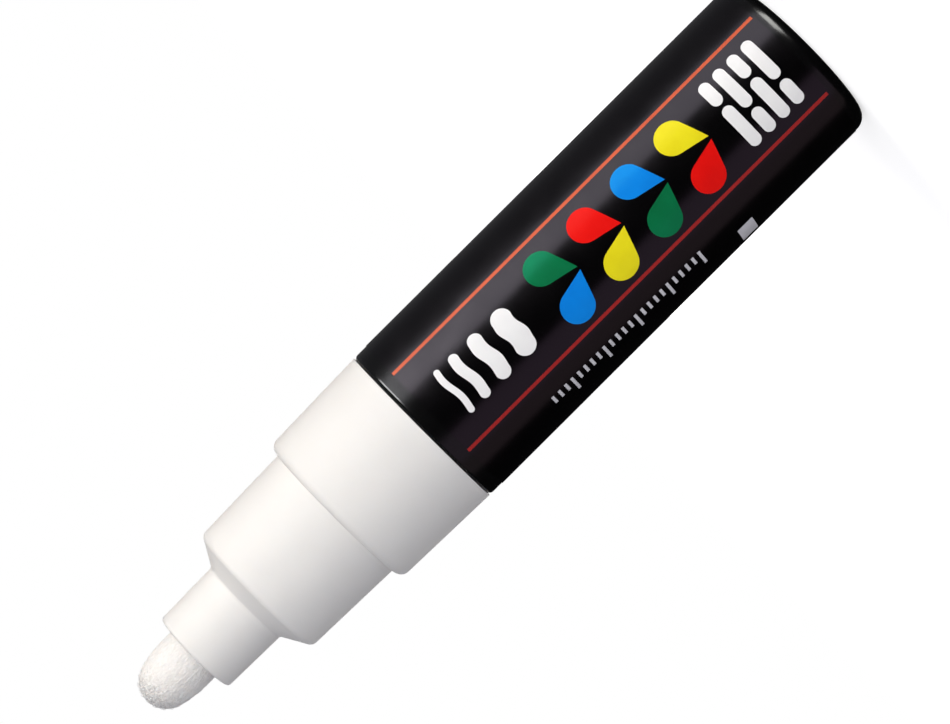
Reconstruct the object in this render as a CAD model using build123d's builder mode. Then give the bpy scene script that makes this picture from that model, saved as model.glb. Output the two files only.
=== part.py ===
from build123d import *
import os
from math import cos, pi, radians, sin, sqrt, tan

# A paint marker with a bullet nib and a push valve, in millimetres. It stands on its flat tail with
# the nib up: the origin is the centre of the tail and +Z runs along the barrel's axis to the nib.
# The paint and the cap are not part of it.

# Barrel: a moulded tank, closed at the tail and open at the front
barrel_diameter = 21.9
barrel_length = 60.8
barrel_wall = 1.45
barrel_base = 1.8
tail_round = 1.8
rim_round = 0.6
tank_corner_round = 1.2
gate_well_diameter = 3.0
gate_well_depth = 0.4

# Printed film shrunk round the barrel, which leaves its tail and its rim bare
film_thickness = 0.1
film_front_setback = 2.0
film_tail_setback = 2.1

# Front holder: a stepped moulding with a spigot that snaps into the barrel
holder_draft = 1.5
holder_wall = 1.4
shoulder_length = 13.85
shoulder_round = 1.2
shoulder_step = 1.35
cap_seat_length = 12.45
cap_seat_round = 0.9
cone_angle = 60
nose_length = 8.2
nose_draft = 1.0
nose_wall = 0.98
nose_root_round = 0.4
nose_round = 0.4
spigot_length = 9.0
spigot_wall = 1.0
spigot_clearance = 0.05
spigot_chamfer = 0.4
bead_height = 0.25
bead_setback = 2.5
bead_clearance = 0.05

# Ribs that guide the nib in the nose and let air past it
rib_count = 6
rib_height = 0.7
rib_width = 1.0
rib_setback = 0.8
rib_root = 0.3
nib_clearance = 0.08

# Nib: a felted bullet that stands on the valve stem
nib_diameter = 7.3
nib_exposed = 7.85
nib_ogive_radius = 13.5
nib_taper = 0.4
nib_rear_chamfer = 0.4

# Valve housing: a well for the nib, a plate with the valve seat, and a cage for the spring
valve_travel = 2.5
housing_wall = 0.9
flange_ledge = 1.0
flange_clearance = 0.03
plate_thickness = 1.5
gasket_thickness = 0.8
well_clearance = 0.4
well_gap = 0.6
port_gap = 1.0
seat_width = 0.5
seat_height = 0.4
cage_gap = 1.2
window_count = 4
window_width = 3.0
window_margin = 1.2

# Valve stem: the nib pushes its notched head, and the spring closes its disc on the seat
stem_diameter = 2.4
push_gap = 0.6
push_head_thickness = 1.2
push_head_inset = 0.7
notch_count = 4
notch_depth = 1.0
notch_width = 1.1
seal_thickness = 0.8
seal_margin = 0.4
disc_margin = 0.3
disc_thickness = 1.0
stem_overhang = 0.5
stem_chamfer = 0.3

# Return spring, and the retainer that plugs the cage below it
spring_wire = 0.45
spring_length = 9.0
spring_turns = 4.5
spring_gap = 0.4
spring_seat_gap = 0.02
retainer_thickness = 1.5
retainer_plug_height = 1.5
retainer_plug_wall = 0.8
retainer_clearance = 0.03
guide_clearance = 0.12

# Two mixing balls, loose in the tank
ball_diameter = 6.0
ball_gap = 0.5
ball_floor_gap = 0.1

# Radii and heights that follow from the sizes above, from the tail to the nib
barrel_radius = barrel_diameter / 2
tank_radius = barrel_radius - barrel_wall
film_length = barrel_length - film_tail_setback - film_front_setback
draft = tan(radians(holder_draft))

shoulder_front_z = barrel_length + shoulder_length
shoulder_front_radius = barrel_radius - shoulder_length * draft
cap_seat_rear_radius = shoulder_front_radius - shoulder_step
cap_seat_front_z = shoulder_front_z + cap_seat_length
cap_seat_front_radius = cap_seat_rear_radius - cap_seat_length * draft

nib_radius = nib_diameter / 2
rib_inner_radius = nib_radius + nib_clearance
nose_bore_radius = rib_inner_radius + rib_height
nose_front_radius = nose_bore_radius + nose_wall
nose_rear_radius = nose_front_radius + nose_length * tan(radians(nose_draft))
cone_slope = tan(radians(cone_angle))
nose_rear_z = cap_seat_front_z + (cap_seat_front_radius - nose_rear_radius) / cone_slope
nose_front_z = nose_rear_z + nose_length

spigot_radius = tank_radius - spigot_clearance
spigot_bore_radius = spigot_radius - spigot_wall
spigot_end_z = barrel_length - spigot_length
bead_z = spigot_end_z + bead_setback
chamber_radius = spigot_bore_radius - flange_ledge
ledge_z = shoulder_front_z - holder_wall
chamber_corner_z = cap_seat_front_z - holder_wall
nose_bore_rear_z = chamber_corner_z + (chamber_radius - nose_bore_radius) / cone_slope

plate_top_z = ledge_z - gasket_thickness
plate_bottom_z = plate_top_z - plate_thickness
flange_radius = spigot_bore_radius - flange_clearance
well_radius = nib_radius + well_clearance
well_top_z = chamber_corner_z - well_gap

stem_radius = stem_diameter / 2
port_radius = stem_radius + port_gap
seat_radius = port_radius + seat_width
seat_z = plate_bottom_z - seat_height
seal_radius = seat_radius + seal_margin
disc_radius = seal_radius + disc_margin
disc_top_z = seat_z - seal_thickness
disc_bottom_z = disc_top_z - disc_thickness
cage_radius = disc_radius + cage_gap
cage_outer_radius = cage_radius + housing_wall
cage_end_z = disc_bottom_z - spring_length
retainer_bottom_z = cage_end_z - retainer_thickness
stem_end_z = retainer_bottom_z - stem_overhang
guide_radius = stem_radius + guide_clearance

nib_tip_z = nose_front_z + nib_exposed
nib_rear_z = plate_top_z + push_gap + valve_travel + push_head_thickness
push_head_bottom_z = nib_rear_z - push_head_thickness
push_head_radius = nib_radius - push_head_inset

ball_radius = ball_diameter / 2
ball_offset = ball_radius + ball_gap / 2
ball_z = barrel_base + ball_floor_gap + ball_radius


# Barrel: closed at the tail, with a well for the moulding gate under it and a snap groove at the mouth
with BuildPart() as barrel:
    Cylinder(barrel_radius, barrel_length, align=(Align.CENTER, Align.CENTER, Align.MIN))
    fillet(barrel.edges().filter_by(GeomType.CIRCLE).sort_by(Axis.Z)[0], tail_round)
    fillet(barrel.edges().filter_by(GeomType.CIRCLE).sort_by(Axis.Z)[-1], min(rim_round, 0.8 * barrel_wall))
    with BuildSketch(Plane.XY.offset(barrel_base)):
        Circle(tank_radius)
    extrude(amount=barrel_length - barrel_base, mode=Mode.SUBTRACT)
    tank_floor = barrel.faces().filter_by(GeomType.PLANE).sort_by(Axis.Z)[1]
    fillet(tank_floor.edges(), tank_corner_round)
    with BuildSketch(Plane.XY):
        Circle(gate_well_diameter / 2)
    extrude(amount=gate_well_depth, mode=Mode.SUBTRACT)
    with BuildSketch(Plane.XZ):
        with Locations((spigot_radius, bead_z)):
            Circle(bead_height + bead_clearance)
    revolve(axis=Axis.Z, mode=Mode.SUBTRACT)

# Label sleeve: a tube of thin printed film, shrunk tight on the barrel's side
with BuildPart() as label_sleeve:
    with BuildSketch(Plane.XY.offset(film_tail_setback)):
        Circle(barrel_radius + film_thickness)
        Circle(barrel_radius, mode=Mode.SUBTRACT)
    extrude(amount=film_length)

# Front holder: shoulder, seat for the cap, cone and nose outside; spigot, valve chamber and nib bore inside
with BuildPart() as front_holder:
    with BuildSketch(Plane.XZ):
        with BuildLine():
            Polyline(
                (nose_bore_radius, nose_front_z),
                (nose_front_radius, nose_front_z),
                (nose_rear_radius, nose_rear_z),
                (cap_seat_front_radius, cap_seat_front_z),
                (cap_seat_rear_radius, shoulder_front_z),
                (shoulder_front_radius, shoulder_front_z),
                (barrel_radius, barrel_length),
                (spigot_radius, barrel_length),
                (spigot_radius, spigot_end_z),
                (spigot_bore_radius, spigot_end_z),
                (spigot_bore_radius, ledge_z),
                (chamber_radius, ledge_z),
                (chamber_radius, chamber_corner_z),
                (nose_bore_radius, nose_bore_rear_z),
                close=True,
            )
        make_face()
        nose_edge = vertices().sort_by_distance((nose_front_radius, nose_front_z))[0]
        fillet(nose_edge, min(nose_round, 0.4 * nose_wall))
        nose_root = vertices().sort_by_distance((nose_rear_radius, nose_rear_z))[0]
        fillet(nose_root, nose_root_round)
        cap_seat_edge = vertices().sort_by_distance((cap_seat_front_radius, cap_seat_front_z))[0]
        fillet(cap_seat_edge, cap_seat_round)
        shoulder_edge = vertices().sort_by_distance((shoulder_front_radius, shoulder_front_z))[0]
        fillet(shoulder_edge, min(shoulder_round, 0.9 * shoulder_step))
        spigot_edge = vertices().sort_by_distance((spigot_radius, spigot_end_z))[0]
        chamfer(spigot_edge, min(spigot_chamfer, 0.5 * spigot_wall))
        with Locations((spigot_radius, bead_z)):
            Circle(bead_height)
    revolve(axis=Axis.Z)
    with BuildSketch(Plane.XY.offset(nose_bore_rear_z)):
        with PolarLocations(rib_inner_radius, rib_count):
            Rectangle(rib_height + rib_root, rib_width, align=(Align.MIN, Align.CENTER))
    extrude(amount=nose_front_z - rib_setback - nose_bore_rear_z)

# Housing gasket: a flat ring between the housing's flange and the ledge inside the holder
with BuildPart() as housing_gasket:
    with BuildSketch(Plane.XY.offset(plate_top_z)):
        Circle(flange_radius)
        Circle(chamber_radius, mode=Mode.SUBTRACT)
    extrude(amount=gasket_thickness)

# Valve housing: the nib's well above the plate, the raised seat and the windowed cage below it
with BuildPart() as valve_housing:
    with BuildSketch(Plane.XZ):
        with BuildLine():
            Polyline(
                (port_radius, plate_top_z),
                (well_radius, plate_top_z),
                (well_radius, well_top_z),
                (well_radius + housing_wall, well_top_z),
                (well_radius + housing_wall, plate_top_z),
                (flange_radius, plate_top_z),
                (flange_radius, plate_bottom_z),
                (cage_outer_radius, plate_bottom_z),
                (cage_outer_radius, cage_end_z),
                (cage_radius, cage_end_z),
                (cage_radius, plate_bottom_z),
                (seat_radius, plate_bottom_z),
                (seat_radius, seat_z),
                (port_radius, seat_z),
                close=True,
            )
        make_face()
    revolve(axis=Axis.Z)
    window_bottom_z = cage_end_z + retainer_plug_height + window_margin
    with BuildSketch(Plane.XY.offset(window_bottom_z)):
        with PolarLocations((cage_radius + cage_outer_radius) / 2, window_count):
            Rectangle(2 * housing_wall, window_width)
    extrude(amount=plate_bottom_z - window_margin - window_bottom_z, mode=Mode.SUBTRACT)

# Valve seal: a rubber washer on the stem's disc, pressed to the seat
with BuildPart() as valve_seal:
    with BuildSketch(Plane.XY.offset(disc_top_z)):
        Circle(seal_radius)
        Circle(stem_radius, mode=Mode.SUBTRACT)
    extrude(amount=seal_thickness)

# Valve stem: a notched head under the nib, a rod through the port, the disc, and a tail in the retainer
with BuildPart() as valve_stem:
    with BuildSketch(Plane.XZ):
        with BuildLine():
            Polyline(
                (0, stem_end_z),
                (stem_radius - stem_chamfer, stem_end_z),
                (stem_radius, stem_end_z + stem_chamfer),
                (stem_radius, disc_bottom_z),
                (disc_radius, disc_bottom_z),
                (disc_radius, disc_top_z),
                (stem_radius, disc_top_z),
                (stem_radius, push_head_bottom_z),
                (push_head_radius, push_head_bottom_z),
                (push_head_radius, nib_rear_z),
                (0, nib_rear_z),
                close=True,
            )
        make_face()
    revolve(axis=Axis.Z)
    with BuildSketch(Plane.XY.offset(push_head_bottom_z)):
        with PolarLocations(push_head_radius, notch_count):
            Rectangle(2 * notch_depth, notch_width)
    extrude(amount=push_head_thickness, mode=Mode.SUBTRACT)

# Spring retainer: a disc under the cage with a ring that plugs into it and a guide for the stem's tail
with BuildPart() as spring_retainer:
    with BuildSketch(Plane.XY.offset(retainer_bottom_z)):
        Circle(cage_outer_radius)
    extrude(amount=retainer_thickness)
    with BuildSketch(Plane.XY.offset(cage_end_z)):
        Circle(cage_radius - retainer_clearance)
        Circle(cage_radius - retainer_clearance - retainer_plug_wall, mode=Mode.SUBTRACT)
    extrude(amount=retainer_plug_height)
    with BuildSketch(Plane.XY.offset(retainer_bottom_z)):
        Circle(guide_radius)
    extrude(amount=retainer_thickness, mode=Mode.SUBTRACT)

# Return spring: half a turn lies flat at each end, and the turns between them rise evenly
spring_mean_radius = stem_radius + spring_gap + spring_wire / 2
spring_low_z = cage_end_z + spring_seat_gap + spring_wire / 2
spring_high_z = disc_bottom_z - spring_seat_gap - spring_wire / 2
spring_rise = (spring_high_z - spring_low_z) / (2 * pi * spring_turns)
spring_end_angle = 2 * pi * (spring_turns + 1)


def spring_point(angle):
    """Centre of the wire at an angle along the spring, in radians from its lower end."""
    climbed = min(max(angle - pi, 0), 2 * pi * spring_turns)
    height = spring_low_z + spring_rise * climbed
    return Vector(spring_mean_radius * cos(angle), spring_mean_radius * sin(angle), height)


def spring_tangent(angle):
    """Direction of the wire there, level on the two flat half turns up to where they meet the rise."""
    climbing = spring_low_z < spring_point(angle).Z < spring_high_z
    slope = spring_rise if climbing else 0
    return Vector(-spring_mean_radius * sin(angle), spring_mean_radius * cos(angle), slope).normalized()


def biarc(start, start_tangent, end, end_tangent):
    """Draw two arcs that leave start and reach end along the given tangents."""
    chord = end - start
    along = chord.dot(start_tangent + end_tangent)
    bend = 2 * (1 - start_tangent.dot(end_tangent))
    reach = (sqrt(along * along + bend * chord.dot(chord)) - along) / bend
    middle = (start + end + (start_tangent - end_tangent) * reach) / 2
    first = TangentArc(start, middle, tangent=start_tangent)
    TangentArc(middle, end, tangent=first % 1)


quarter_turns = round(2 * spring_end_angle / pi)
with BuildPart() as return_spring:
    with BuildLine() as spring_path:
        for quarter in range(quarter_turns):
            angle_from = quarter * pi / 2
            angle_to = angle_from + pi / 2
            biarc(
                spring_point(angle_from),
                spring_tangent(angle_from),
                spring_point(angle_to),
                spring_tangent(angle_to),
            )
    with BuildSketch(Plane(origin=spring_path.line @ 0, z_dir=spring_path.line % 0)):
        Circle(spring_wire / 2)
    sweep(path=spring_path.line)

samples_per_turn = 48
sample_count = round(spring_end_angle / (2 * pi) * samples_per_turn) + 1
spring_samples = [spring_point(index * 2 * pi / samples_per_turn) for index in range(sample_count)]
turn_gaps = [
    (spring_samples[one] - spring_samples[other]).length - spring_wire
    for one in range(sample_count)
    for other in range(one + samples_per_turn // 2, sample_count)
]
print(f"return_spring: least gap between its turns {min(turn_gaps):.2f} mm")

# Nib: a straight shank, an ogive that leaves it smoothly, and a round tip tangent to the ogive
with BuildPart() as nib:
    tip_radius = nib_radius - nib_taper
    tip_centre_z = nib_tip_z - tip_radius
    ogive_rise = sqrt((nib_ogive_radius - tip_radius) ** 2 - (nib_ogive_radius - nib_radius) ** 2)
    ogive_start_z = tip_centre_z - ogive_rise
    ogive_centre_r = nib_radius - nib_ogive_radius
    reach = tip_radius / (nib_ogive_radius - tip_radius)
    blend_point = (-ogive_centre_r * reach, tip_centre_z + ogive_rise * reach)
    with BuildSketch(Plane.XZ):
        with BuildLine():
            shank = Polyline(
                (0, nib_rear_z),
                (nib_radius - nib_rear_chamfer, nib_rear_z),
                (nib_radius, nib_rear_z + nib_rear_chamfer),
                (nib_radius, ogive_start_z),
            )
            ogive = TangentArc(shank @ 1, blend_point, tangent=(0, 1))
            TangentArc(blend_point, (0, nib_tip_z), tangent=ogive % 1)
            Line((0, nib_tip_z), (0, nib_rear_z))
        make_face()
    revolve(axis=Axis.Z)

# Mixing balls: steel, side by side on the tank's floor
with BuildPart() as mixing_ball_left:
    with Locations((-ball_offset, 0, ball_z)):
        Sphere(ball_radius)

with BuildPart() as mixing_ball_right:
    with Locations((ball_offset, 0, ball_z)):
        Sphere(ball_radius)

pieces = {
    "barrel": barrel,
    "label_sleeve": label_sleeve,
    "front_holder": front_holder,
    "housing_gasket": housing_gasket,
    "valve_housing": valve_housing,
    "valve_seal": valve_seal,
    "valve_stem": valve_stem,
    "spring_retainer": spring_retainer,
    "return_spring": return_spring,
    "nib": nib,
    "mixing_ball_left": mixing_ball_left,
    "mixing_ball_right": mixing_ball_right,
}
os.makedirs("parts", exist_ok=True)
for name, piece in pieces.items():
    piece.part.label = name
    export_step(piece.part, f"parts/{name}.step")

# How far the loose pieces can travel, for the joints
pulled_out = nose_front_z + 1.0 - nib_rear_z
ball_rise = stem_end_z - valve_travel - ball_gap - (ball_z + ball_radius)
print(f"overall length {nib_tip_z:.2f}, nib pull {pulled_out:.2f}, ball rise {ball_rise:.2f} mm")
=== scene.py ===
import math
import random

import bpy
from mathutils import Matrix, Vector, noise
from mathutils.geometry import delaunay_2d_cdt


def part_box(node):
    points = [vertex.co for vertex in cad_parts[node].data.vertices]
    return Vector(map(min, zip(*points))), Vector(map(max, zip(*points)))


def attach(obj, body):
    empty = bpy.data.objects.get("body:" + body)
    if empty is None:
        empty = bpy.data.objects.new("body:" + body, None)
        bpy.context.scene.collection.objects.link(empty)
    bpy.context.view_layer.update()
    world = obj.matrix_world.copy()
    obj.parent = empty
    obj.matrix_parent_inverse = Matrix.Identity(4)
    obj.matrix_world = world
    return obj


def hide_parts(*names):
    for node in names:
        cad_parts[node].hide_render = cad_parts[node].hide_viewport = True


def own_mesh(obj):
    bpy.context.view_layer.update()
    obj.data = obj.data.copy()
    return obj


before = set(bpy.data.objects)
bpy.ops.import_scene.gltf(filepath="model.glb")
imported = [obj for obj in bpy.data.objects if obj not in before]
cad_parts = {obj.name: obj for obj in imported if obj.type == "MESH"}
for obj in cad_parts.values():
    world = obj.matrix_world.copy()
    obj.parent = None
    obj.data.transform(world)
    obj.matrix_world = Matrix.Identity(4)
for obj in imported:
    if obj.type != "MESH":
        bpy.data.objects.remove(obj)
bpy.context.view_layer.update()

# Barrel. The paint tank is one black polypropylene moulding, closed at the tail, with the mark of its
# gate in a shallow well underneath. It is polished in the mould, and handling has dulled it in places.
mm = 0.001


def new_material(name):
    """A material, its node tree, its shader, and the place on the piece in millimetres for its patterns."""
    material = bpy.data.materials.new(name)
    material.use_nodes = True
    tree = material.node_tree
    place = tree.nodes.new("ShaderNodeTexCoord")
    scale = tree.nodes.new("ShaderNodeMapping")
    scale.inputs["Scale"].default_value = (1 / mm, 1 / mm, 1 / mm)
    tree.links.new(place.outputs["Object"], scale.inputs["Vector"])
    return material, tree, tree.nodes["Principled BSDF"], scale.outputs["Vector"]


def clouds(tree, place, per_mm, low, high, detail=2.0):
    """Soft noise with that many cells to the millimetre, nearly all of it between low and high."""
    noise_floor = 0.3
    noise_ceiling = 0.7
    cells = tree.nodes.new("ShaderNodeTexNoise")
    cells.inputs["Scale"].default_value = per_mm
    cells.inputs["Detail"].default_value = detail
    tree.links.new(place, cells.inputs["Vector"])
    spread = tree.nodes.new("ShaderNodeMapRange")
    spread.clamp = False
    spread.inputs["From Min"].default_value = noise_floor
    spread.inputs["From Max"].default_value = noise_ceiling
    spread.inputs["To Min"].default_value = low
    spread.inputs["To Max"].default_value = high
    tree.links.new(cells.outputs["Fac"], spread.inputs["Value"])
    return spread.outputs["Result"]


def two_tone(tree, amount, first, second):
    """Colour that goes from first to second with the amount."""
    mix = tree.nodes.new("ShaderNodeMix")
    mix.data_type = "RGBA"
    mix.inputs["A"].default_value = (*first, 1.0)
    mix.inputs["B"].default_value = (*second, 1.0)
    tree.links.new(amount, mix.inputs["Factor"])
    return mix.outputs["Result"]


def relief(tree, height, depth):
    """Surface relief of that depth in metres, from a height of 0 to 1."""
    bump = tree.nodes.new("ShaderNodeBump")
    bump.inputs["Distance"].default_value = depth
    tree.links.new(height, bump.inputs["Height"])
    return bump.outputs["Normal"]


def moulding(name, colour, shade, gloss, grain_depth):
    """Plastic or rubber out of a mould: flow clouds in its colour, haze in its gloss, and a fine grain."""
    flow_per_mm = 0.12
    haze_per_mm = 0.5
    grain_per_mm = 9.0
    material, tree, shader, place = new_material(name)
    flow = clouds(tree, place, flow_per_mm, 0.0, 1.0)
    haze = clouds(tree, place, haze_per_mm, *gloss)
    grain = clouds(tree, place, grain_per_mm, 0.0, 1.0, detail=4.0)
    tree.links.new(two_tone(tree, flow, colour, shade), shader.inputs["Base Color"])
    tree.links.new(haze, shader.inputs["Roughness"])
    tree.links.new(relief(tree, grain, grain_depth), shader.inputs["Normal"])
    shader.inputs["IOR"].default_value = 1.49
    return material


black_moulding = moulding("black_moulding", colour=(0.0020, 0.0020, 0.0023), shade=(0.0032, 0.0031, 0.0034),
                          gloss=(0.18, 0.22), grain_depth=0.002 * mm)
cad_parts["barrel"].material_slots[0].material = black_moulding

# Printed sleeve. A tube of black plastic film, printed, slipped over the barrel and shrunk tight with heat.
# It stops short of the tail and of the rim, and a welded lap runs down its back.
film_low, film_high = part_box("label_sleeve")
film_radius = film_high.x
film_tail = film_low.z
film_front = film_high.z
film_thickness = 0.1 * mm
film_columns = 144
lap_width = 2.4 * mm
lap_height = 0.03 * mm
lap_ramp = 0.4 * mm
film_crease = math.radians(40)
half_turn = math.pi * film_radius


def box_outline(middle, low, high, width):
    """Corners of a plain bar on the flat film, from low to high."""
    left = middle - width / 2
    right = middle + width / 2
    return [(left, low), (right, low), (right, high), (left, high)]


def pill_outline(middle, low, high, width, steps=14):
    """Bar with round ends on the flat film, from low to high."""
    radius = width / 2
    turns = [math.pi * step / steps for step in range(steps + 1)]
    front = [(middle + radius * math.cos(t), high - radius + radius * math.sin(t)) for t in turns]
    tail = [(middle - radius * math.cos(t), low + radius - radius * math.sin(t)) for t in turns]
    return front + tail


def lying(outline):
    """The same outline, turned to run across the flat film."""
    return [(across, along) for along, across in reversed(outline)]


def dab_outline(point, lean, reach, radius, steps=26):
    """Drop of paint on the flat film: a pointed end, and a round one at the end of its reach."""
    flare = math.acos(radius / reach)
    sweep = 2 * (math.pi - flare)
    turns = [lean + math.pi + flare + sweep * step / steps for step in range(steps + 1)]
    across = point[0] + reach * math.cos(lean)
    along = point[1] + reach * math.sin(lean)
    return [point] + [(across + radius * math.cos(t), along + radius * math.sin(t)) for t in turns]


def stroke_outline(middle, along, length, thickness, steps=40, end_steps=12):
    """Line drawn across the flat film with a full nib: round ends and a slight wave."""
    wave_height = 0.16 * mm
    wave_sweep = 2.2 * math.pi
    radius = thickness / 2
    straight = length / 2 - radius
    run = [straight * (2 * step / steps - 1) for step in range(steps + 1)]
    wave = [wave_height * math.sin(wave_sweep * step / steps) for step in range(steps + 1)]
    low = [(middle + across, along + rise - radius) for across, rise in zip(run, wave)]
    high = [(middle + across, along + rise + radius) for across, rise in zip(run, wave)]
    turns = [math.pi * step / end_steps for step in range(1, end_steps)]
    ends = [(straight + radius * math.sin(t), radius * math.cos(t)) for t in turns]
    right = [(middle + reach, along + wave[-1] - rise) for reach, rise in ends]
    left = [(middle - reach, along + wave[0] + rise) for reach, rise in ends]
    return low + right + high[::-1] + left


# Each ink has its colour, the shade of its thinner patches, and the tint of its gloss
film_inks = {
    "film_black": ((0.0006, 0.0006, 0.0008), (0.0010, 0.0009, 0.0011), (1.0, 0.92, 1.0)),
    "orange_ink": ((0.64, 0.085, 0.016), (0.58, 0.072, 0.014), (0.85, 0.78, 0.72)),
    "deep_red_ink": ((0.42, 0.015, 0.013), (0.38, 0.0125, 0.011), (1.0, 0.8, 0.7)),
    "white_ink": ((0.91, 0.905, 0.905), (0.87, 0.865, 0.865), (1.0, 1.0, 1.0)),
    "red_ink": ((0.86, 0.008, 0.006), (0.78, 0.006, 0.005), (1.0, 0.15, 0.12)),
    "blue_ink": ((0.004, 0.235, 0.80), (0.004, 0.20, 0.72), (0.1, 1.0, 1.0)),
    "green_ink": ((0.004, 0.17, 0.058), (0.004, 0.145, 0.048), (0.1, 1.0, 0.65)),
    "yellow_ink": ((0.86, 0.76, 0.014), (0.80, 0.68, 0.012), (1.0, 1.0, 0.2)),
    "silver_ink": ((0.80, 0.79, 0.83), (0.70, 0.69, 0.73), (1.0, 1.0, 1.0)),
}
ink_order = list(film_inks)
prints = []

# Two thin stripes frame the design along nearly the whole film
stripe_width = 0.46 * mm
stripe_tail = 2.34 * mm
stripes = {"orange_ink": film_radius * math.radians(-35.7), "deep_red_ink": film_radius * math.radians(30.1)}
for ink, middle in stripes.items():
    prints.append((ink, box_outline(middle, stripe_tail, film_front, stripe_width)))

# Rows of round-ended chips near the tail, each row split in two at one of two places
chip_rows = 4
chip_tail = 5.1 * mm
chip_pitch = 2.22 * mm
chip_left = -5.32 * mm
chip_right = 4.32 * mm
chip_width = 1.55 * mm
chip_gap = 0.5 * mm
chip_splits = [6.0 * mm, 3.6 * mm]
for row in range(chip_rows):
    height = chip_tail + chip_pitch * row
    split = chip_left + chip_splits[row % len(chip_splits)]
    prints.append(("white_ink", lying(pill_outline(height, chip_left, split - chip_gap / 2, chip_width))))
    prints.append(("white_ink", lying(pill_outline(height, split + chip_gap / 2, chip_right, chip_width))))

# Pairs of paint dabs that spread from the middle
dab_middle = -0.22 * mm
dab_gap = 0.44 * mm
dab_tail = 15.2 * mm
dab_pitch = 6.85 * mm
dab_reach = 4.15 * mm
dab_radius = 2.05 * mm
dab_lean = math.radians(48)
left_dabs = ["yellow_ink", "blue_ink", "red_ink", "green_ink"]
right_dabs = ["red_ink", "green_ink", "yellow_ink", "blue_ink"]
for row, (left_ink, right_ink) in enumerate(zip(left_dabs, right_dabs)):
    height = dab_tail + dab_pitch * row
    left_point = (dab_middle - dab_gap / 2, height)
    right_point = (dab_middle + dab_gap / 2, height)
    prints.append((left_ink, dab_outline(left_point, math.pi - dab_lean, dab_reach, dab_radius)))
    prints.append((right_ink, dab_outline(right_point, dab_lean, dab_reach, dab_radius)))

# Strokes near the rim, from the thickest to the thinnest
stroke_middle = -0.3 * mm
stroke_length = 6.4 * mm
stroke_heights = [45.9 * mm, 49.7 * mm, 52.8 * mm, 55.2 * mm]
stroke_thicknesses = [2.6 * mm, 1.9 * mm, 1.3 * mm, 0.8 * mm]
for height, thickness in zip(stroke_heights, stroke_thicknesses):
    prints.append(("white_ink", stroke_outline(stroke_middle, height, stroke_length, thickness)))

# A row of plain ticks and one plain bar in silver
tick_count = 24
tick_tail = 24.75 * mm
tick_pitch = 1.0 * mm
tick_width = 0.38 * mm
tick_length = 1.3 * mm
long_tick_length = 2.5 * mm
long_tick_every = 5
tick_edge = film_radius * math.radians(46)
for tick in range(tick_count):
    height = tick_tail + tick_pitch * tick
    length = tick_length if tick % long_tick_every else long_tick_length
    prints.append(("silver_ink", box_outline(tick_edge + length / 2, height, height + tick_width, length)))
bar_middle = 13.2 * mm
bar_tail = 17.75 * mm
bar_front = 20.05 * mm
bar_width = 3.6 * mm
prints.append(("silver_ink", box_outline(bar_middle, bar_tail, bar_front, bar_width)))

# The flat film is cut along every outline and along upright lines close enough to bend round the barrel
flat_points = []
flat_edges = []
flat_faces = []


def add_flat_face(outline):
    """Add one outline to the flat film."""
    first = len(flat_points)
    flat_points.extend(Vector(point) for point in outline)
    flat_faces.append(list(range(first, len(flat_points))))


add_flat_face(box_outline(0.0, film_tail, film_front, 2 * half_turn))
for ink, outline in prints:
    add_flat_face(outline)
columns = [half_turn * (2 * step / film_columns - 1) for step in range(1, film_columns)]
columns += [half_turn - lap_width]
for middle in stripes.values():
    columns += [middle - stripe_width / 2, middle + stripe_width / 2]
for across in columns:
    flat_edges.append((len(flat_points), len(flat_points) + 1))
    flat_points += [Vector((across, film_tail)), Vector((across, film_front))]

weld = 1e-8
keep_inside = 1
cut_points, _, cut_faces, _, _, cut_owners = delaunay_2d_cdt(
    flat_points, flat_edges, flat_faces, keep_inside, weld)


def outward_at(across):
    """Outward direction on the barrel of a place across the flat film."""
    angle = across / film_radius
    return Vector((-math.sin(angle), -math.cos(angle), 0.0))


def wrap(across, along, depth):
    """Place on the barrel of a point on the flat film, that deep under its highest face."""
    return outward_at(across) * (film_radius - depth) + Vector((0.0, 0.0, along))


def lap_lift(across):
    """How far the film stands up where its end laps over its start."""
    start = half_turn - lap_width
    return lap_height * min(1.0, max(0.0, (across - start) / lap_ramp))


film_points = []
film_faces = []
film_normals = []
film_ink_of = []
for point in cut_points:
    film_points.append(wrap(point.x, point.y, lap_height - lap_lift(point.x)))
for face, owners in zip(cut_faces, cut_owners):
    film_faces.append(list(reversed(face)))
    film_normals.append([outward_at(cut_points[i].x) for i in reversed(face)])
    top_print = max(owners)
    film_ink_of.append(0 if top_print == 0 else ink_order.index(prints[top_print - 1][0]))


def film_edge(test, key):
    """Outer points of the film that lie on one of its edges, in order along it."""
    found = [i for i, point in enumerate(cut_points) if test(point)]
    return sorted(found, key=lambda i: key(cut_points[i]))


def add_wall(first, second, outward_of):
    """Wall of quads between two rows of points."""
    for step in range(len(first) - 1):
        quad = [first[step], first[step + 1], second[step + 1], second[step]]
        film_faces.append(quad)
        film_normals.append([outward_of(i) for i in quad])
        film_ink_of.append(0)


tolerance = 1e-7
front_row = film_edge(lambda p: abs(p.y - film_front) < tolerance, lambda p: p.x)
tail_row = film_edge(lambda p: abs(p.y - film_tail) < tolerance, lambda p: p.x)
lap_end = film_edge(lambda p: abs(p.x - half_turn) < tolerance, lambda p: p.y)
lap_start = film_edge(lambda p: abs(p.x + half_turn) < tolerance, lambda p: p.y)
inner_front = []
inner_tail = []
for row, along in ((inner_front, film_front), (inner_tail, film_tail)):
    for i in front_row:
        row.append(len(film_points))
        film_points.append(wrap(cut_points[i].x, along, film_thickness))


def inward(i):
    """Direction from a point of the film to the barrel's axis."""
    return Vector((-film_points[i].x, -film_points[i].y, 0.0)).normalized()


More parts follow.
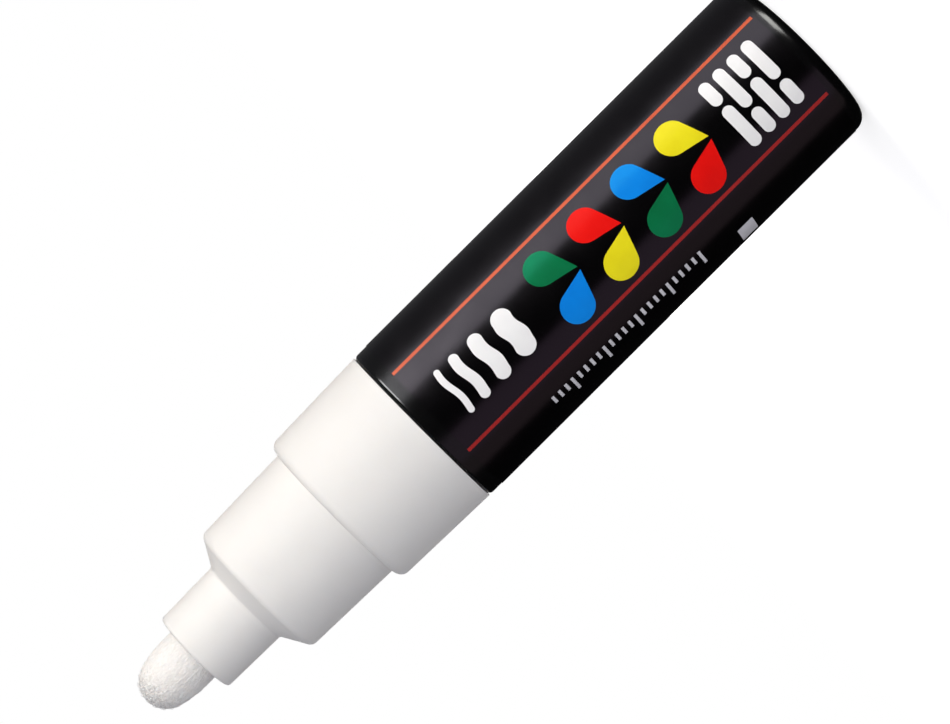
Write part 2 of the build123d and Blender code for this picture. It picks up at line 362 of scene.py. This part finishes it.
add_wall(inner_tail, inner_front, inward)
add_wall(front_row, inner_front, lambda i: Vector((0, 0, 1)))
add_wall(inner_tail, tail_row, lambda i: Vector((0, 0, -1)))
add_wall(lap_start, lap_end, lambda i: Vector((1, 0, 0)))


def film_ink(name, colour, shade, gleam):
    """Ink behind the clear face of the film, which has the slight ripple that shrinking leaves."""
    patches_per_mm = 0.35
    haze_per_mm = 0.3
    film_gloss = (0.20, 0.24)
    ripples_per_mm = 0.22
    ripple_depth = 0.002 * mm
    material, tree, shader, place = new_material(name)
    patches = clouds(tree, place, patches_per_mm, 0.0, 1.0, detail=4.0)
    haze = clouds(tree, place, haze_per_mm, *film_gloss)
    ripple = clouds(tree, place, ripples_per_mm, 0.0, 1.0)
    tree.links.new(two_tone(tree, patches, colour, shade), shader.inputs["Base Color"])
    tree.links.new(haze, shader.inputs["Roughness"])
    tree.links.new(relief(tree, ripple, ripple_depth), shader.inputs["Normal"])
    shader.inputs["IOR"].default_value = 1.56
    shader.inputs["Specular Tint"].default_value = (*gleam, 1.0)
    return material


film_mesh = bpy.data.meshes.new("printed_sleeve")
film_mesh.from_pydata(film_points, [], film_faces)
film_mesh.set_sharp_from_angle(angle=film_crease)
for name, (colour, shade, gleam) in film_inks.items():
    film_mesh.materials.append(film_ink(name, colour, shade, gleam))
film_mesh.polygons.foreach_set("material_index", film_ink_of)
film_mesh.polygons.foreach_set("use_smooth", [True] * len(film_faces))
film_mesh.normals_split_custom_set([normal for face in film_normals for normal in face])
printed_sleeve = bpy.data.objects.new("printed_sleeve", film_mesh)
bpy.context.collection.objects.link(printed_sleeve)
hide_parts("label_sleeve")
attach(printed_sleeve, "marker_body")

# Front holder. One satin white polypropylene moulding: a shoulder, the seat that the cap grips, a short
# cone, and a nose with ribs inside that guide the nib. Its spigot snaps into the barrel's mouth.
white_moulding = moulding("white_moulding", colour=(0.83, 0.815, 0.79), shade=(0.80, 0.785, 0.765),
                          gloss=(0.5, 0.6), grain_depth=0.003 * mm)
holder_shader = white_moulding.node_tree.nodes["Principled BSDF"]
holder_shader.inputs["Specular IOR Level"].default_value = 0.12
holder_shader.inputs["Subsurface Weight"].default_value = 0.15
holder_shader.inputs["Subsurface Radius"].default_value = (1.0, 0.85, 0.7)
holder_shader.inputs["Subsurface Scale"].default_value = 0.8 * mm
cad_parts["front_holder"].material_slots[0].material = white_moulding

# Push valve. A moulded housing with a windowed cage holds a moulded stem, whose rubber washer closes on
# the housing's seat. A retainer plugs the cage's end and holds up the coil spring, which is wound from
# steel wire. Pressing the nib moves the washer off its seat.
valve_moulding = moulding("valve_moulding", colour=(0.74, 0.74, 0.72), shade=(0.70, 0.70, 0.685),
                          gloss=(0.38, 0.5), grain_depth=0.003 * mm)
seal_rubber = moulding("seal_rubber", colour=(0.018, 0.018, 0.019), shade=(0.026, 0.026, 0.027),
                       gloss=(0.55, 0.7), grain_depth=0.008 * mm)
for name in ("valve_housing", "valve_stem", "spring_retainer"):
    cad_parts[name].material_slots[0].material = valve_moulding
for name in ("housing_gasket", "valve_seal"):
    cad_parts[name].material_slots[0].material = seal_rubber


def bright_steel(name, colour, shade):
    """Bare steel with fine marks, and patches in its polish."""
    marks_per_mm = 3.0
    haze_per_mm = 5.0
    steel_gloss = (0.12, 0.28)
    mark_depth = 0.002 * mm
    material, tree, shader, place = new_material(name)
    marks = clouds(tree, place, marks_per_mm, 0.0, 1.0, detail=5.0)
    haze = clouds(tree, place, haze_per_mm, *steel_gloss, detail=4.0)
    tree.links.new(two_tone(tree, marks, colour, shade), shader.inputs["Base Color"])
    tree.links.new(haze, shader.inputs["Roughness"])
    tree.links.new(relief(tree, marks, mark_depth), shader.inputs["Normal"])
    shader.inputs["Metallic"].default_value = 1.0
    return material


spring_low, spring_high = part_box("return_spring")
spring_length = spring_high.z - spring_low.z
wire_radius = 0.225 * mm
coil_radius = spring_high.x - wire_radius
free_turns = 4.5
flat_turns = 0.5
coil_turns = free_turns + 2 * flat_turns
coil_rise = spring_length - 2 * wire_radius
rings_per_turn = 40
wire_sides = 12
wire_rings = round(coil_turns * rings_per_turn)
wire_points = []
wire_faces = []


def wire_centre(turn):
    """Middle of the spring's wire after that many turns, flat over the first and last half turn."""
    share = min(1.0, max(0.0, (turn - flat_turns) / free_turns))
    height = spring_low.z + wire_radius + coil_rise * share
    angle = 2 * math.pi * turn
    return Vector((coil_radius * math.cos(angle), coil_radius * math.sin(angle), height))


for ring in range(wire_rings + 1):
    centre = wire_centre(coil_turns * ring / wire_rings)
    outward = Vector((centre.x, centre.y, 0.0)).normalized()
    for side in range(wire_sides):
        angle = 2 * math.pi * side / wire_sides
        lift = Vector((0, 0, wire_radius * math.sin(angle)))
        wire_points.append(centre + outward * wire_radius * math.cos(angle) + lift)
for ring in range(wire_rings):
    for side in range(wire_sides):
        here = ring * wire_sides + side
        beside = ring * wire_sides + (side + 1) % wire_sides
        wire_faces.append([here, beside, beside + wire_sides, here + wire_sides])
wire_faces.append(list(range(wire_sides)))
wire_faces.append([wire_rings * wire_sides + side for side in reversed(range(wire_sides))])


def add_piece(name, points, faces, material):
    """A smooth mesh piece of one material."""
    mesh = bpy.data.meshes.new(name)
    mesh.from_pydata(points, [], faces)
    mesh.polygons.foreach_set("use_smooth", [True] * len(faces))
    mesh.materials.append(material)
    piece = bpy.data.objects.new(name, mesh)
    bpy.context.collection.objects.link(piece)
    return piece


spring_steel = bright_steel("spring_steel", colour=(0.60, 0.60, 0.61), shade=(0.50, 0.50, 0.52))
coil_spring = add_piece("coil_spring", wire_points, wire_faces, spring_steel)
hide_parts("return_spring")
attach(coil_spring, "marker_body")
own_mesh(coil_spring)

# Nib. A rod of bonded polyester fibre, all of it running lengthways, ground to a bullet at the front.
# It stands on the valve's stem and slides in the nose's ribs, and it can be pulled out and changed.
nib_low, nib_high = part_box("nib")
holder_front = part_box("front_holder")[1].z
nib_radius = nib_high.x
nib_taper = 0.4 * mm
tip_radius = nib_radius - nib_taper
ogive_radius = 13.5 * mm
rear_chamfer = 0.4 * mm
tip_centre = nib_high.z - tip_radius
ogive_rise = math.sqrt((ogive_radius - tip_radius) ** 2 - (ogive_radius - nib_radius) ** 2)
ogive_start = tip_centre - ogive_rise
ogive_end = tip_centre + ogive_rise * tip_radius / (ogive_radius - tip_radius)
bare_start = holder_front - 1.0 * mm
bare_blend = 1.0 * mm
nib_sides = 260
ring_step = 0.09 * mm


def nib_side(height):
    """Radius of the nib at a height, and the outward and forward parts of its direction there."""
    if height <= ogive_start:
        return nib_radius, 1.0, 0.0
    if height <= ogive_end:
        forward = (height - ogive_start) / ogive_radius
        outward = math.sqrt(1 - forward * forward)
        return nib_radius - ogive_radius * (1 - outward), outward, forward
    forward = min(1.0, (height - tip_centre) / tip_radius)
    outward = math.sqrt(1 - forward * forward)
    return tip_radius * outward, outward, forward


def nib_place(height, angle, lift=0.0):
    """Point on the nib, lifted off its face."""
    radius, outward, forward = nib_side(height)
    reach = radius + lift * outward
    return Vector((reach * math.cos(angle), reach * math.sin(angle), height + lift * forward))


# The fibres' sides show as long grooves, and their ends as pits where the nib is ground
fibres_per_mm = 3.0
fibre_slenderness = 0.4
fibre_depth = 0.11 * mm
fibre_falloff = 0.35
fibre_octave_step = 2.1
fibre_octaves = 4
cut_ends_per_mm = 4.2
cut_end_depth = 0.24 * mm
cut_end_falloff = 0.6
cut_end_octave_step = 2.0
cut_end_octaves = 2
least_ground = 0.15
ground_start = 0.3
ground_run = 0.5


def hollow_share(wave):
    """Share of the full depth, from a noise that runs from -1 to 1 and is cut off there."""
    return 0.5 + 0.5 * max(-1.0, min(1.0, wave))


def fibre_hollow(place, forward):
    """Depth of the gaps between the fibres along the nib, and between their cut ends on its tip."""
    lengthways = Vector((place.x, place.y, place.z * fibre_slenderness)) * fibres_per_mm / mm
    gap = noise.fractal(lengthways, fibre_falloff, fibre_octave_step, fibre_octaves)
    endways = place * cut_ends_per_mm / mm
    cut_end = noise.fractal(endways, cut_end_falloff, cut_end_octave_step, cut_end_octaves)
    ground = min(1.0, max(least_ground, (forward - ground_start) / ground_run))
    return fibre_depth * hollow_share(gap) + cut_end_depth * ground * hollow_share(cut_end)


nib_heights = [nib_low.z + rear_chamfer, bare_start]
side_rings = math.ceil((ogive_end - bare_start) / ring_step)
for ring in range(1, side_rings + 1):
    nib_heights.append(bare_start + (ogive_end - bare_start) * ring / side_rings)
tip_angle = math.acos((ogive_end - tip_centre) / tip_radius)
tip_rings = math.ceil(tip_radius * tip_angle / ring_step)
for ring in range(1, tip_rings):
    nib_heights.append(tip_centre + tip_radius * math.cos(tip_angle * (1 - ring / tip_rings)))

rear_radius = nib_radius - rear_chamfer
nib_turns = [2 * math.pi * side / nib_sides for side in range(nib_sides)]
nib_points = [Vector((0, 0, nib_low.z))]
for turn in nib_turns:
    nib_points.append(Vector((rear_radius * math.cos(turn), rear_radius * math.sin(turn), nib_low.z)))
for height in nib_heights:
    shown = min(1.0, max(0.0, (height - bare_start) / bare_blend))
    for turn in nib_turns:
        hollow = fibre_hollow(nib_place(height, turn), nib_side(height)[2])
        nib_points.append(nib_place(height, turn, -hollow * shown))
nib_points.append(nib_place(nib_high.z, 0.0, -0.5 * fibre_depth))
nib_faces = [[0, (side + 1) % nib_sides + 1, side + 1] for side in range(nib_sides)]
for ring in range(len(nib_heights)):
    first = 1 + ring * nib_sides
    for side in range(nib_sides):
        beside = (side + 1) % nib_sides
        nib_faces.append([first + side, first + beside, first + nib_sides + beside, first + nib_sides + side])
last_ring = 1 + len(nib_heights) * nib_sides
nib_top = len(nib_points) - 1
nib_faces += [[last_ring + side, last_ring + (side + 1) % nib_sides, nib_top] for side in range(nib_sides)]

# Loose fibres stand up from the face as short bowed threads, more of them towards the tip
loose_fibres = 120
loose_start = holder_front + 3.2 * mm
loose_end = nib_high.z - 0.1 * mm
fibre_sides = 5
fibre_rings = 7
longest_run = 0.35 * mm
widest_sway = 0.3 * mm
deepest_bow = 0.15 * mm
lowest_lift = 0.02 * mm
highest_lift = 0.07 * mm
finest_fibre = 0.012 * mm
coarsest_fibre = 0.026 * mm
fibre_root = 0.03 * mm
fibre_headroom = 0.02 * mm
least_girth = 0.4 * mm
draw = random.Random(5)
for fibre in range(loose_fibres):
    start = loose_start + (loose_end - loose_start) * math.sqrt(draw.random())
    turn = draw.uniform(0, 2 * math.pi)
    run = draw.uniform(-longest_run, longest_run)
    sway = draw.uniform(-widest_sway, widest_sway)
    bow = draw.uniform(-deepest_bow, deepest_bow)
    lift = draw.uniform(lowest_lift, highest_lift)
    thickness = draw.uniform(finest_fibre, coarsest_fibre)
    spine = []
    for ring in range(fibre_rings):
        share = ring / (fibre_rings - 1)
        arch = math.sin(math.pi * share)
        height = min(start + run * share, nib_high.z - fibre_headroom)
        girth = max(nib_side(height)[0], least_girth)
        aside = (sway * share + bow * arch) / girth
        spine.append(nib_place(height, turn + aside, lift * arch - fibre_root))
    first = len(nib_points)
    for ring in range(fibre_rings):
        ahead = (spine[min(ring + 1, fibre_rings - 1)] - spine[max(ring - 1, 0)]).normalized()
        across = ahead.orthogonal().normalized()
        upward = ahead.cross(across)
        for side in range(fibre_sides):
            angle = 2 * math.pi * side / fibre_sides
            outward = across * math.cos(angle) + upward * math.sin(angle)
            nib_points.append(spine[ring] + outward * thickness)
    for ring in range(fibre_rings - 1):
        for side in range(fibre_sides):
            here = first + ring * fibre_sides + side
            beside = first + ring * fibre_sides + (side + 1) % fibre_sides
            nib_faces.append([here, beside, beside + fibre_sides, here + fibre_sides])
    nib_faces.append([first + side for side in reversed(range(fibre_sides))])
    nib_faces.append([first + (fibre_rings - 1) * fibre_sides + side for side in range(fibre_sides)])

# The felt is off-white and streaked along its fibres. Near the tip, grey specks of painted shade stand for
# the shade between the cut ends
felt_white = (0.93, 0.905, 0.875)
felt_painted_shade = (0.58, 0.56, 0.54)
felt_streak = (0.90, 0.90, 0.90)
felt_plain = (1.0, 1.0, 1.0)
painted_shade_start = nib_high.z - 4.0 * mm
painted_shade_full = nib_high.z - 0.8 * mm
painted_shade_per_mm = 4.2
streaks_per_mm = 5.0
felt_haze_per_mm = 2.0
felt_gloss = (0.8, 0.95)
fuzz_per_mm = 7.0
fuzz_depth = 0.05 * mm
white_felt, felt_tree, felt_shader, felt_place = new_material("white_felt")
felt_lengthways = felt_tree.nodes.new("ShaderNodeMapping")
felt_lengthways.inputs["Scale"].default_value = (1.0, 1.0, fibre_slenderness)
felt_tree.links.new(felt_place, felt_lengthways.inputs["Vector"])
felt_grain = felt_lengthways.outputs["Vector"]
felt_height = felt_tree.nodes.new("ShaderNodeSeparateXYZ")
felt_tree.links.new(felt_place, felt_height.inputs["Vector"])
# Painted shade: from here, grey specks darken the felt's colour towards the tip, standing in for shade in the
# hollows between fibre ends
felt_shade_near_tip = felt_tree.nodes.new("ShaderNodeMapRange")
felt_shade_near_tip.inputs["From Min"].default_value = painted_shade_start / mm
felt_shade_near_tip.inputs["From Max"].default_value = painted_shade_full / mm
felt_tree.links.new(felt_height.outputs["Z"], felt_shade_near_tip.inputs["Value"])
felt_painted_shade_mask = felt_tree.nodes.new("ShaderNodeMath")
felt_painted_shade_mask.operation = "MULTIPLY"
felt_shade_flecks = clouds(felt_tree, felt_place, painted_shade_per_mm, -0.5, 1.0, detail=3.0)
felt_tree.links.new(felt_shade_flecks, felt_painted_shade_mask.inputs[0])
felt_tree.links.new(felt_shade_near_tip.outputs["Result"], felt_painted_shade_mask.inputs[1])
felt_colour = two_tone(felt_tree, felt_painted_shade_mask.outputs["Value"], felt_white, felt_painted_shade)
felt_streaks = clouds(felt_tree, felt_grain, streaks_per_mm, 0.0, 1.0, detail=3.0)
felt_tint = felt_tree.nodes.new("ShaderNodeMix")
felt_tint.data_type = "RGBA"
felt_tint.blend_type = "MULTIPLY"
felt_tint.inputs["Factor"].default_value = 1.0
felt_tree.links.new(felt_colour, felt_tint.inputs["A"])
felt_tree.links.new(two_tone(felt_tree, felt_streaks, felt_streak, felt_plain), felt_tint.inputs["B"])
felt_tree.links.new(felt_tint.outputs["Result"], felt_shader.inputs["Base Color"])
felt_haze = clouds(felt_tree, felt_place, felt_haze_per_mm, *felt_gloss)
felt_tree.links.new(felt_haze, felt_shader.inputs["Roughness"])
felt_fuzz = clouds(felt_tree, felt_grain, fuzz_per_mm, 0.0, 1.0, detail=3.0)
felt_tree.links.new(relief(felt_tree, felt_fuzz, fuzz_depth), felt_shader.inputs["Normal"])
felt_shader.inputs["Sheen Weight"].default_value = 0.15
felt_shader.inputs["Sheen Roughness"].default_value = 0.5
felt_shader.inputs["Subsurface Weight"].default_value = 0.4
felt_shader.inputs["Subsurface Radius"].default_value = (1.0, 0.85, 0.75)
felt_shader.inputs["Subsurface Scale"].default_value = 1.0 * mm
felt_nib = add_piece("felt_nib", nib_points, nib_faces, white_felt)
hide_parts("nib")
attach(felt_nib, "nib")

# Mixing balls. Two hardened steel balls lie loose in the tank, and stir the pigment up when the marker
# is shaken. They are tumbled bright, with fine scratches from rolling on each other.
ball_steel = bright_steel("ball_steel", colour=(0.66, 0.66, 0.67), shade=(0.56, 0.56, 0.58))
for name in ("mixing_ball_left", "mixing_ball_right"):
    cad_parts[name].material_slots[0].material = ball_steel

# Studio. The marker stands on a white floor in a white room, which is dim where the gloss sees it. A warm
# softbox lights it from one side, a cool lamp from the front and one from behind, and cards shape its gloss.
# The camera looks at it level, rolled so that the nib points down to the left.
ambient = 0.31
ambient_tint = (0.91, 0.905, 1.0)
dim_walls = 0.006
white = (1.0, 1.0, 1.0)
world = bpy.data.worlds.new("studio")
world.use_nodes = True
bpy.context.scene.world = world
room = world.node_tree
room_light = room.nodes["Background"]
room_ray = room.nodes.new("ShaderNodeLightPath")
gloss_share = room.nodes.new("ShaderNodeMapRange")
gloss_share.inputs["To Min"].default_value = ambient
gloss_share.inputs["To Max"].default_value = dim_walls
room.links.new(room_ray.outputs["Is Glossy Ray"], gloss_share.inputs["Value"])
camera_share = room.nodes.new("ShaderNodeMapRange")
camera_share.inputs["To Max"].default_value = 1.0
room.links.new(room_ray.outputs["Is Camera Ray"], camera_share.inputs["Value"])
room.links.new(gloss_share.outputs["Result"], camera_share.inputs["To Min"])
room.links.new(camera_share.outputs["Result"], room_light.inputs["Strength"])
room_colour = two_tone(room, room_ray.outputs["Is Camera Ray"], ambient_tint, white)
room.links.new(room_colour, room_light.inputs["Color"])

# The camera sees the floor's own shading with a glow added, so that it is white except in the shadow
floor_reach = 3.0
floor_grey = (0.80, 0.80, 0.80)
near_glow = 0.63
far_glow = 0.90
near_distance = 0.10
far_distance = 0.50
floor_corners = [(-floor_reach, -floor_reach, 0), (floor_reach, -floor_reach, 0),
                 (floor_reach, floor_reach, 0), (-floor_reach, floor_reach, 0)]
floor_mesh = bpy.data.meshes.new("floor")
floor_mesh.from_pydata(floor_corners, [], [(0, 1, 2, 3)])
floor = bpy.data.objects.new("floor", floor_mesh)
bpy.context.collection.objects.link(floor)
floor_paint = bpy.data.materials.new("floor_paint")
floor_paint.use_nodes = True
floor_tree = floor_paint.node_tree
floor_shader = floor_tree.nodes["Principled BSDF"]
floor_shader.inputs["Base Color"].default_value = (*floor_grey, 1.0)
floor_shader.inputs["Roughness"].default_value = 0.9
floor_shader.inputs["Specular IOR Level"].default_value = 0.0
floor_place = floor_tree.nodes.new("ShaderNodeTexCoord")
floor_distance = floor_tree.nodes.new("ShaderNodeVectorMath")
floor_distance.operation = "LENGTH"
floor_tree.links.new(floor_place.outputs["Object"], floor_distance.inputs[0])
floor_white = floor_tree.nodes.new("ShaderNodeMapRange")
floor_white.interpolation_type = "SMOOTHSTEP"
floor_white.inputs["From Min"].default_value = near_distance
floor_white.inputs["From Max"].default_value = far_distance
floor_white.inputs["To Min"].default_value = near_glow
floor_white.inputs["To Max"].default_value = far_glow
floor_tree.links.new(floor_distance.outputs["Value"], floor_white.inputs["Value"])
floor_ray = floor_tree.nodes.new("ShaderNodeLightPath")
floor_seen = floor_tree.nodes.new("ShaderNodeMath")
floor_seen.operation = "MULTIPLY"
floor_tree.links.new(floor_ray.outputs["Is Camera Ray"], floor_seen.inputs[0])
floor_tree.links.new(floor_white.outputs["Result"], floor_seen.inputs[1])
floor_glow = floor_tree.nodes.new("ShaderNodeEmission")
floor_tree.links.new(floor_seen.outputs["Value"], floor_glow.inputs["Strength"])
floor_sum = floor_tree.nodes.new("ShaderNodeAddShader")
floor_tree.links.new(floor_shader.outputs["BSDF"], floor_sum.inputs[0])
floor_tree.links.new(floor_glow.outputs["Emission"], floor_sum.inputs[1])
floor_tree.links.new(floor_sum.outputs["Shader"], floor_tree.nodes["Material Output"].inputs["Surface"])
floor_mesh.materials.append(floor_paint)
floor.visible_glossy = False
floor.visible_shadow = False


def add_lamp(name, angle, distance, height, aim, size, radiance, colour, shine=True, lights=True):
    """Soft lamp at that angle round from the camera, towards +X, turned to a height on the axis."""
    turn = math.radians(angle)
    place = Vector((distance * math.sin(turn), -distance * math.cos(turn), height))
    width, tall = size
    data = bpy.data.lights.new(name, "AREA")
    data.shape = "RECTANGLE"
    data.size = width
    data.size_y = tall
    data.energy = radiance * math.pi * width * tall
    data.color = colour
    lamp = bpy.data.objects.new(name, data)
    bpy.context.collection.objects.link(lamp)
    lamp.location = place
    lamp.rotation_euler = (Vector((0.0, 0.0, aim)) - place).to_track_quat("-Z", "Y").to_euler()
    lamp.visible_camera = False
    lamp.visible_glossy = shine
    lamp.visible_diffuse = lights


add_lamp("softbox", angle=56, distance=0.72, height=0.152, aim=0.152, size=(0.524, 0.396),
         radiance=4.98, colour=(1.0, 0.945, 0.86), shine=False)
add_lamp("shine_high", angle=60, distance=0.6, height=0.24, aim=0.24, size=(0.437, 0.20),
         radiance=16.0, colour=white, lights=False)
add_lamp("shine_mid", angle=56, distance=0.6, height=-0.05, aim=-0.05, size=(0.437, 0.38),
         radiance=1.4, colour=(0.93, 0.92, 1.0), lights=False)
add_lamp("shine_low", angle=57, distance=0.5, height=-0.38, aim=-0.1, size=(0.36, 0.30),
         radiance=10.0, colour=(1.0, 1.0, 0.96), lights=False)
add_lamp("front", angle=8, distance=0.75, height=0.25, aim=0.08, size=(0.4, 0.35),
         radiance=5.05, colour=(0.96, 0.985, 1.0), shine=False)
add_lamp("rear", angle=199, distance=0.7, height=0.16, aim=0.08, size=(0.45, 0.4),
         radiance=4.4, colour=(1.0, 0.98, 0.95), shine=False)
add_lamp("rear_shine", angle=180, distance=0.6, height=0.1, aim=0.1, size=(0.16, 0.8),
         radiance=1.5, colour=(1.0, 0.98, 0.96), lights=False)
add_lamp("left_card", angle=108, distance=0.5, height=0.1, aim=0.1, size=(0.6, 0.8),
         radiance=0.092, colour=(0.92, 0.92, 1.0), lights=False)
add_lamp("back_card", angle=158, distance=0.5, height=0.1, aim=0.1, size=(0.36, 0.8),
         radiance=0.09, colour=(0.95, 0.95, 1.0), lights=False)
add_lamp("right_card", angle=-47.5, distance=0.5, height=0.1, aim=0.1, size=(0.335, 0.8),
         radiance=0.30, colour=(1.0, 0.75, 1.0), lights=False)
add_lamp("right_edge", angle=-79, distance=0.5, height=0.1, aim=0.1, size=(0.23, 0.8),
         radiance=0.19, colour=(1.0, 0.75, 0.8), lights=False)

picture_width = 950
pixel_size = 0.1138 * mm
camera_distance = 455.2 * mm
camera_foot = Vector((0.945 * mm, 0.0, 51.31 * mm))
nib_slope = math.radians(44.88)
camera_data = bpy.data.cameras.new("camera")
camera_data.sensor_width = 36.0
camera_data.lens = camera_distance / pixel_size * camera_data.sensor_width / picture_width
camera = bpy.data.objects.new("camera", camera_data)
bpy.context.collection.objects.link(camera)
right = Vector((-math.sin(nib_slope), 0.0, -math.cos(nib_slope)))
up = Vector((math.cos(nib_slope), 0.0, -math.sin(nib_slope)))
back = right.cross(up)
camera_turn = Matrix((right, up, back)).transposed().to_4x4()
camera.matrix_world = Matrix.Translation(camera_foot + back * camera_distance) @ camera_turn
bpy.context.scene.camera = camera
bpy.context.scene.view_settings.view_transform = "Standard"
